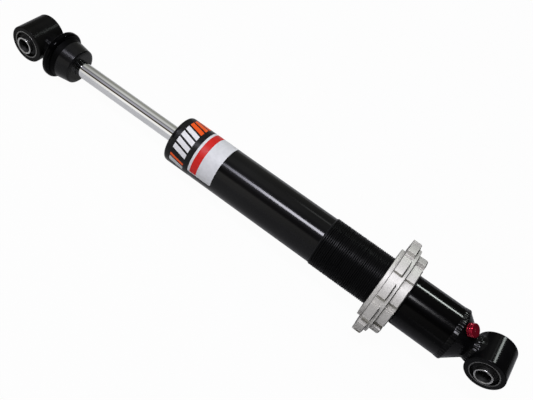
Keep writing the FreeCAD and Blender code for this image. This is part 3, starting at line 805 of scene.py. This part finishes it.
def bevelled_end(lug_r, end):
    """A lug's far edge: a 45 degree bevel between two small rounds, from the lug's top to its end face."""
    return np.concatenate([
        np.add((end - LUG_CHAMFER, lug_r), BEVEL_TOP), np.add((end, lug_r - LUG_CHAMFER), BEVEL_FOOT)])


def rim_start(x, r, bevel_start):
    """The first points of a rim at r, from behind the near edge at x to where the bevel starts."""
    return run((x + EDGE_ROUND, r), (bevel_start, r), RIM_POINTS)


def seat_ring():
    """Outlines of the spring seat ring: bore, pilot collar, lugged rim with a bevelled end, and flange."""
    mouth_r = RING_BORE_R + LUG_CHAMFER
    bevel_start = FLANGE_START - LUG_CHAMFER
    rim_end = FLANGE_START + FOOT_ROUND
    collar = np.concatenate([
        [(SEAT_FACE + LUG_CHAMFER, RING_BORE_R), (SEAT_FACE, mouth_r)],
        run((SEAT_FACE, mouth_r), (SEAT_FACE, COLLAR_R - LUG_ROUND), count=3),
        arc((SEAT_FACE + LUG_ROUND, COLLAR_R - LUG_ROUND), LUG_ROUND, 180, 90),
        run((SEAT_FACE + LUG_ROUND, COLLAR_R), (LUG_START - FOOT_ROUND, COLLAR_R), count=2),
        arc((LUG_START - FOOT_ROUND, COLLAR_R + FOOT_ROUND), FOOT_ROUND, 270, 360, count=4)])
    face_low, face_high = (
        run((LUG_START, COLLAR_R + FOOT_ROUND), (LUG_START, r - EDGE_ROUND), count=3)
        for r in (FLANGE_R, SEAT_LUG_R))
    rim_low = np.concatenate([
        rim_start(LUG_START, FLANGE_R, bevel_start),
        run((bevel_start, FLANGE_R), (rim_end, FLANGE_R), count=8)])
    rim_high = np.concatenate([
        rim_start(LUG_START, SEAT_LUG_R, bevel_start - BEVEL_LEAD),
        bevelled_end(SEAT_LUG_R, FLANGE_START),
        [(FLANGE_START, FLANGE_R + FOOT_ROUND), (FLANGE_START + FOOT_SOFT, FLANGE_R + FOOT_SOFT),
         (rim_end, FLANGE_R)]])
    flange = np.concatenate([
        run((rim_end, FLANGE_R), (FLANGE_END - LUG_ROUND, FLANGE_R), count=3),
        arc((FLANGE_END - LUG_ROUND, FLANGE_R - LUG_ROUND), LUG_ROUND, 90, 0),
        run((FLANGE_END, FLANGE_R - LUG_ROUND), (FLANGE_END, RING_BORE_R), count=4),
        [(FLANGE_END, RING_BORE_R)],
        run((FLANGE_END, RING_BORE_R), (SEAT_FACE + LUG_CHAMFER, RING_BORE_R), count=4)])
    # Painted shade marks corners from the collar's fillet up the near face, and over the flange's far edge
    # and face
    stretches = [
        stretch(collar, collar, corner=(-3, None)),
        stretch(face_low, face_high, corner=(0, None)),
        stretch(near_edge(LUG_START, FLANGE_R), near_edge(LUG_START, SEAT_LUG_R), corner=(0, 4)),
        stretch(rim_low, rim_high, bevelled=(RIM_POINTS + 2, RIM_POINTS + 7)),
        stretch(flange, flange, corner=(7, -5))]
    return castellated(stretches, *lug_columns(SEAT_LUGS, SEAT_SLOT, FLANGE_R, SEAT_LUG_R, SEAT_CLOCK))


def lock_ring():
    """Outlines of the lock ring: bore, near face, lugged rim with a bevelled far edge, and far face."""
    mouth_r = RING_BORE_R + LUG_CHAMFER
    bevel_start = LOCK_END - LUG_CHAMFER
    inset_r, edge_r = LOCK_FLOOR_R - LOCK_FACE_INSET, LOCK_FLOOR_R - EDGE_ROUND
    near = np.concatenate([
        [(LOCK_START, RING_BORE_R)], run((LOCK_START, RING_BORE_R), (LOCK_START, inset_r), count=4)])
    face_low, face_high = (
        run((LOCK_START, inset_r), (LOCK_START, r - EDGE_ROUND), count=3)
        for r in (LOCK_FLOOR_R, LOCK_LUG_R))
    rim_low = np.concatenate([
        rim_start(LOCK_START, LOCK_FLOOR_R, bevel_start),
        run((bevel_start, LOCK_FLOOR_R), (LOCK_END - EDGE_ROUND, LOCK_FLOOR_R), count=2),
        arc((LOCK_END - EDGE_ROUND, edge_r), EDGE_ROUND, 90, 0, count=5)])
    rim_high = np.concatenate([
        rim_start(LOCK_START, LOCK_LUG_R, bevel_start - BEVEL_LEAD),
        bevelled_end(LOCK_LUG_R, LOCK_END),
        [(LOCK_END, LOCK_FLOOR_R + FOOT_ROUND), (LOCK_END, edge_r)]])
    far = np.concatenate([
        run((LOCK_END, edge_r), (LOCK_END, mouth_r), count=3),
        [(LOCK_END, mouth_r), (bevel_start, RING_BORE_R)],
        run((bevel_start, RING_BORE_R), (LOCK_START, RING_BORE_R), count=4)])
    # Painted shade marks corners up the near face and halfway round its edge
    stretches = [
        stretch(near, near, corner=(0, None)),
        stretch(face_low, face_high, corner=(0, None)),
        stretch(near_edge(LOCK_START, LOCK_FLOOR_R), near_edge(LOCK_START, LOCK_LUG_R), corner=(0, 4)),
        stretch(rim_low, rim_high, bevelled=(RIM_POINTS + 2, RIM_POINTS + 5)),
        stretch(far, far)]
    return castellated(stretches, *lug_columns(LOCK_LUGS, LOCK_SLOT, LOCK_FLOOR_R, LOCK_LUG_R, LOCK_CLOCK))


points, quads, painted_shading = seat_ring()
piece("seat_ring_cast", points, quads, ring_alloy, "spring_seat_ring", ("spring_seat_ring",),
      "ring_aluminium", RING_CREASE, painted_shading)
points, quads, painted_shading = lock_ring()
piece("lock_ring_cast", points, quads, ring_alloy, "lock_ring", ("lock_ring",),
      "ring_aluminium", RING_CREASE, painted_shading)


# Valve cap

CAP_CREASE = 45
CAP_COLUMNS = 120
CAP_ROUND_POINTS = 7
CAP_LIP = 0.3
CAP_SHOULDER = 0.7
CAP_TAPER = 0.1
CAP_POLE_R = 0.02
CROWN_FLAT_R = 3.2
DIMPLE = ((0.0, 1.4), (0.05, 1.2), (0.2, 0.9), (0.2, CAP_POLE_R))
# Each groove's height, half width and depth, and its painted shade's half width and strength
CAP_GROOVES = ((1.25, 0.30, 0.65, 0.40, 1.0), (2.75, 0.22, 0.30, 0.25, 0.6))


def valve_place(h, r, clock):
    """Points at height h and radius r about the valve's axis, square on the cone, leant by VALVE_CLOCK."""
    slope = math.atan2(LOWER_R - NECK_R, CONE_END - CONE_START)
    base = np.array([CONE_START + VALVE_DOWN_CONE, 0.0, LOWER_R - VALVE_DOWN_CONE * math.tan(slope)])
    axis = np.array([math.sin(slope), 0.0, math.cos(slope)])
    side = np.array([math.cos(slope), 0.0, -math.sin(slope)])
    h, r, clock = np.broadcast_arrays(h, r, clock)
    points = (base + h[..., None] * axis + (r * np.cos(clock))[..., None] * side
              + (r * np.sin(clock))[..., None] * np.array([0.0, 1.0, 0.0]))
    lean = math.radians(VALVE_CLOCK)
    y = points[..., 1] * math.cos(lean) - points[..., 2] * math.sin(lean)
    z = points[..., 1] * math.sin(lean) + points[..., 2] * math.cos(lean)
    return np.stack([points[..., 0], y, z], -1)


def dip(h, middle, half_width):
    """A flat-bottomed hollow, 0 to 1, as exp(-((h - middle) / half width)^4)."""
    return np.exp(-((h - middle) / half_width) ** 4)


def turned_cap():
    """An (h, r) outline carried round the valve's axis.

    It is a flange at the foot, a neck groove, the body, a fine groove and a dimpled crown. The returned
    mark, painted shade, follows the two grooves.
    """
    turn = np.radians(np.linspace(0, 90, CAP_ROUND_POINTS))
    shoulder_h, shoulder_r = CAP_END - CAP_SHOULDER, CAP_R - CAP_TAPER
    inside = np.array([
        (CAP_INSIDE_TOP, CAP_POLE_R), (CAP_INSIDE_TOP, CAP_INSIDE_R - CAP_LIP),
        (CAP_INSIDE_TOP - CAP_LIP, CAP_INSIDE_R), (CAP_LIFT + CAP_LIP, CAP_INSIDE_R),
        (CAP_LIFT, CAP_INSIDE_R + CAP_LIP)])
    lip = np.stack([CAP_LIFT + CAP_LIP * (1 - np.cos(turn)), CAP_R - CAP_LIP + CAP_LIP * np.sin(turn)], -1)
    waist = run((CAP_LIFT + CAP_LIP, CAP_R), (shoulder_h, shoulder_r), count=40)
    h = waist[:, 0] - CAP_LIFT
    waist[:, 1] -= sum(depth * dip(h, middle, half) for middle, half, depth, _, _ in CAP_GROOVES)
    shoulder = np.stack([shoulder_h + CAP_SHOULDER * np.sin(turn),
                         shoulder_r - CAP_SHOULDER + CAP_SHOULDER * np.cos(turn)], -1)
    crown = np.array([(CAP_END, CROWN_FLAT_R)] + [(CAP_END - drop, r) for drop, r in DIMPLE])
    outline = np.concatenate([inside, lip, waist, shoulder, crown])
    points = valve_place(outline[:, :1], outline[:, 1:], clocks(CAP_COLUMNS))
    groove_shade = np.zeros(len(outline))
    first = len(inside) + len(lip)
    groove_shade[first:first + len(waist)] = sum(
        strength * dip(h, middle, half) for middle, _, _, half, strength in CAP_GROOVES)
    return points, closed_cells(points), np.broadcast_to(groove_shade[:, None], points.shape[:2])


points, quads, painted_shading = turned_cap()
piece("turned_cap", points, quads, cap_red, "valve_cap", ("valve_cap",), "cap_red", CAP_CREASE, painted_shading)


# Floor

# Share of its radius that the lowest lug reaches down
LOWEST_LUG = 0.9976
FLOOR_REACH = 4000.0
FLOOR_TONE = (0.46, 0.46, 0.46)
SHADED_TONE = (0.15, 0.15, 0.15)
EVEN_SEEN = 0.97
# Where a share runs from and to along an axis in metres, and its first and last value
EVEN_MIRRORED = (0.15, 0.30, 0.38, 0.0)
SHADED_FLOOR = (("X", 0.32, 0.36, 0.0, 1.0), ("X", 0.42, 0.46, 1.0, 0.0), ("Y", -0.05, -0.11, 0.0, 1.0))


def floor_plane():
    """A square sheet that touches the rod eye and the lowest lug: its slope's sine is drop over distance."""
    tilt = math.asin((SEAT_LUG_R * LOWEST_LUG - EYE_R) / LUG_START)
    along = np.array([math.cos(tilt), 0.0, -math.sin(tilt)])
    middle = np.array([0.0, 0.0, -EYE_R / math.cos(tilt)])
    reach = np.array([-FLOOR_REACH, FLOOR_REACH])
    points = middle + reach[:, None, None] * along + reach[None, :, None] * np.array([0.0, 1.0, 0.0])
    return points, cells(2, 2)


def floor_finish():
    """Matt white that keeps shadows, mixed with an even white.

    The camera sees nearly all of the even white. A reflection sees a share of it that falls away from the
    rod end to the thread, and sees darker matt in a patch in front of the lower tube.
    """
    made = bpy.data.materials.new("floor_white")
    made.use_nodes = True
    tree = made.node_tree
    tree.nodes.clear()
    out = tree.nodes.new("ShaderNodeOutputMaterial")
    matt = tree.nodes.new("ShaderNodeBsdfDiffuse")
    even = tree.nodes.new("ShaderNodeEmission")
    even.inputs["Color"].default_value = (1, 1, 1, 1)
    path = tree.nodes.new("ShaderNodeLightPath").outputs
    place = split(tree, tree.nodes.new("ShaderNodeTexCoord").outputs["Object"])
    mirrored = worked(tree, "MAXIMUM", path["Is Glossy Ray"], path["Is Transmission Ray"])
    even_mirrored = worked(tree, "MULTIPLY", mirrored, spread(tree, place["X"], *EVEN_MIRRORED))
    shade = mirrored
    for way, *span in SHADED_FLOOR:
        shade = worked(tree, "MULTIPLY", shade, spread(tree, place[way], *span))
    tree.links.new(mixed(tree, shade, FLOOR_TONE, SHADED_TONE), matt.inputs["Color"])
    share = worked(tree, "MULTIPLY_ADD", path["Is Camera Ray"], EVEN_SEEN, even_mirrored)
    blend = tree.nodes.new("ShaderNodeMixShader")
    tree.links.new(share, blend.inputs["Fac"])
    tree.links.new(matt.outputs["BSDF"], blend.inputs[1])
    tree.links.new(even.outputs["Emission"], blend.inputs[2])
    tree.links.new(blend.outputs["Shader"], out.inputs["Surface"])
    return made


floor_mesh = bpy.data.meshes.new("floor")
floor_points, floor_cells = floor_plane()
floor_mesh.from_pydata((floor_points.reshape(-1, 3) * MM).tolist(), [], floor_cells[:, ::-1].tolist())
floor_mesh.materials.append(floor_finish())
floor = bpy.data.objects.new("floor", floor_mesh)
bpy.context.scene.collection.objects.link(floor)


# Light

FRONT_LINE = (-0.64, 1.80)
BACK_LINE = (1.32, 1.50)
# Each lamp's name, X, line of Y and Z, X that it faces, length, width, radiance and colour
STRIPS = (
    ("front_strip", 0.08, FRONT_LINE, 0.24, 0.48, 0.35, 42.0, (0.91, 0.90, 1.0)),
    ("front_strip_start", -0.24, FRONT_LINE, 0.20, 0.16, 0.35, 18.5, (0.86, 0.85, 1.0)),
    ("front_strip_far", -0.455, FRONT_LINE, 0.10, 0.11, 0.34, 18.0, (0.88, 0.87, 1.0)),
    ("front_strip_end", 0.40, FRONT_LINE, 0.36, 0.16, 0.28, 18.0, (0.96, 0.96, 1.0)),
    ("front_strip_tail", 0.47, FRONT_LINE, 0.36, 0.20, 0.28, 2.2, (0.97, 0.97, 1.0)),
    ("back_strip", 0.55, BACK_LINE, 0.40, 0.26, 0.17, 48.0, (0.92, 1.0, 0.96)),
    ("back_strip_end", 0.06, BACK_LINE, 0.20, 0.16, 0.24, 1.6, (0.97, 1.0, 0.98)),
)
# Clock angle in degrees and colour
WORLD_BANDS = (
    (-150, (0.38, 0.38, 0.35)), (-60, (0.36, 0.36, 0.32)), (-40, (0.44, 0.44, 0.40)),
    (-31, (0.70, 0.70, 0.66)), (-12, (0.80, 0.80, 0.77)), (0, (0.40, 0.40, 0.39)),
    (7, (0.14, 0.14, 0.15)), (13, (0.46, 0.45, 0.50)), (34, (0.52, 0.51, 0.55)),
    (41, (0.06, 0.045, 0.02)), (54, (0.05, 0.035, 0.01)), (60, (1.40, 1.36, 1.28)),
    (78, (1.15, 1.14, 1.11)), (112, (1.00, 1.00, 1.01)),
)
# How the world's strength changes with the X of the direction: from, to, first and last value
TOWARDS_BODY_EYE = (-0.36, 0.10, 1.0, 0.12)
TOWARDS_ROD_EYE = (-0.60, -0.43, 0.3, 1.0)


def strip_lamp(name, x, line, aim_x, length, width, radiance, colour):
    """A rectangular lamp, long along X, facing the axis at aim_x; its power is radiance * pi * area."""
    lamp = bpy.data.lights.new(name, "AREA")
    lamp.shape = "RECTANGLE"
    lamp.size, lamp.size_y = length, width
    lamp.energy = radiance * math.pi * length * width
    lamp.color = colour
    made = bpy.data.objects.new(name, lamp)
    bpy.context.scene.collection.objects.link(made)
    back = np.array([x - aim_x, *line])
    back = back / np.linalg.norm(back)
    side = np.array([1.0, 0.0, 0.0]) - back[0] * back
    side = side / np.linalg.norm(side)
    up = np.cross(back, side)
    turn = Matrix(np.stack([side, up, back], -1).tolist()).to_4x4()
    made.matrix_world = Matrix.Translation((x, *line)) @ turn


def studio_world():
    """Long bands of wall and ceiling round X, told apart by the clock angle of the direction.

    They are brightest a little towards the rod end and fall off both ways. What the camera sees past the
    floor is white.
    """
    world = bpy.data.worlds.new("studio")
    world.use_nodes = True
    tree = world.node_tree
    sky = tree.nodes["Background"]
    way = split(tree, tree.nodes.new("ShaderNodeTexCoord").outputs["Generated"])
    clock = worked(tree, "ARCTAN2", worked(tree, "MULTIPLY", way["Y"], -1.0), way["Z"])
    ramp = tree.nodes.new("ShaderNodeValToRGB")
    tree.links.new(spread(tree, clock, -math.pi, math.pi, 0.0, 1.0), ramp.inputs["Fac"])
    stops = ramp.color_ramp.elements
    while len(stops) < len(WORLD_BANDS):
        stops.new(0.5)
    for stop, (angle, colour) in zip(stops, WORLD_BANDS):
        stop.position = (angle + 180) / 360
        stop.color = (*colour, 1)
    tree.links.new(ramp.outputs["Color"], sky.inputs["Color"])
    level = worked(tree, "MULTIPLY", spread(tree, way["X"], *TOWARDS_BODY_EYE),
                   spread(tree, way["X"], *TOWARDS_ROD_EYE))
    tree.links.new(level, sky.inputs["Strength"])
    white = tree.nodes.new("ShaderNodeBackground")
    white.inputs["Color"].default_value = (1, 1, 1, 1)
    seen = tree.nodes.new("ShaderNodeMixShader")
    tree.links.new(tree.nodes.new("ShaderNodeLightPath").outputs["Is Camera Ray"], seen.inputs["Fac"])
    tree.links.new(sky.outputs["Background"], seen.inputs[1])
    tree.links.new(white.outputs["Background"], seen.inputs[2])
    tree.links.new(seen.outputs["Shader"], tree.nodes["World Output"].inputs["Surface"])
    return world


for strip in STRIPS:
    strip_lamp(*strip)
bpy.context.scene.world = studio_world()


# Camera, at the photograph's place and angle

SENSOR_WIDTH = 36.0
LENS = 45.29
NEAREST_SEEN = 0.01
CAMERA_PLACE = (0.32344, -0.32189, 0.37063)
CAMERA_RIGHT = (0.79961, 0.53827, 0.26624)
CAMERA_UP = (-0.57066, 0.54305, 0.61599)
CAMERA_BACK = (0.18698, -0.64449, 0.74140)

camera = bpy.data.cameras.new("camera")
camera.sensor_fit = "HORIZONTAL"
camera.sensor_width = SENSOR_WIDTH
camera.lens = LENS
camera.clip_start = NEAREST_SEEN
viewer = bpy.data.objects.new("camera", camera)
bpy.context.scene.collection.objects.link(viewer)
turn = Matrix((CAMERA_RIGHT, CAMERA_UP, CAMERA_BACK)).transposed().to_4x4()
viewer.matrix_world = Matrix.Translation(CAMERA_PLACE) @ turn
bpy.context.scene.camera = viewer
bpy.context.scene.view_settings.view_transform = "Standard"
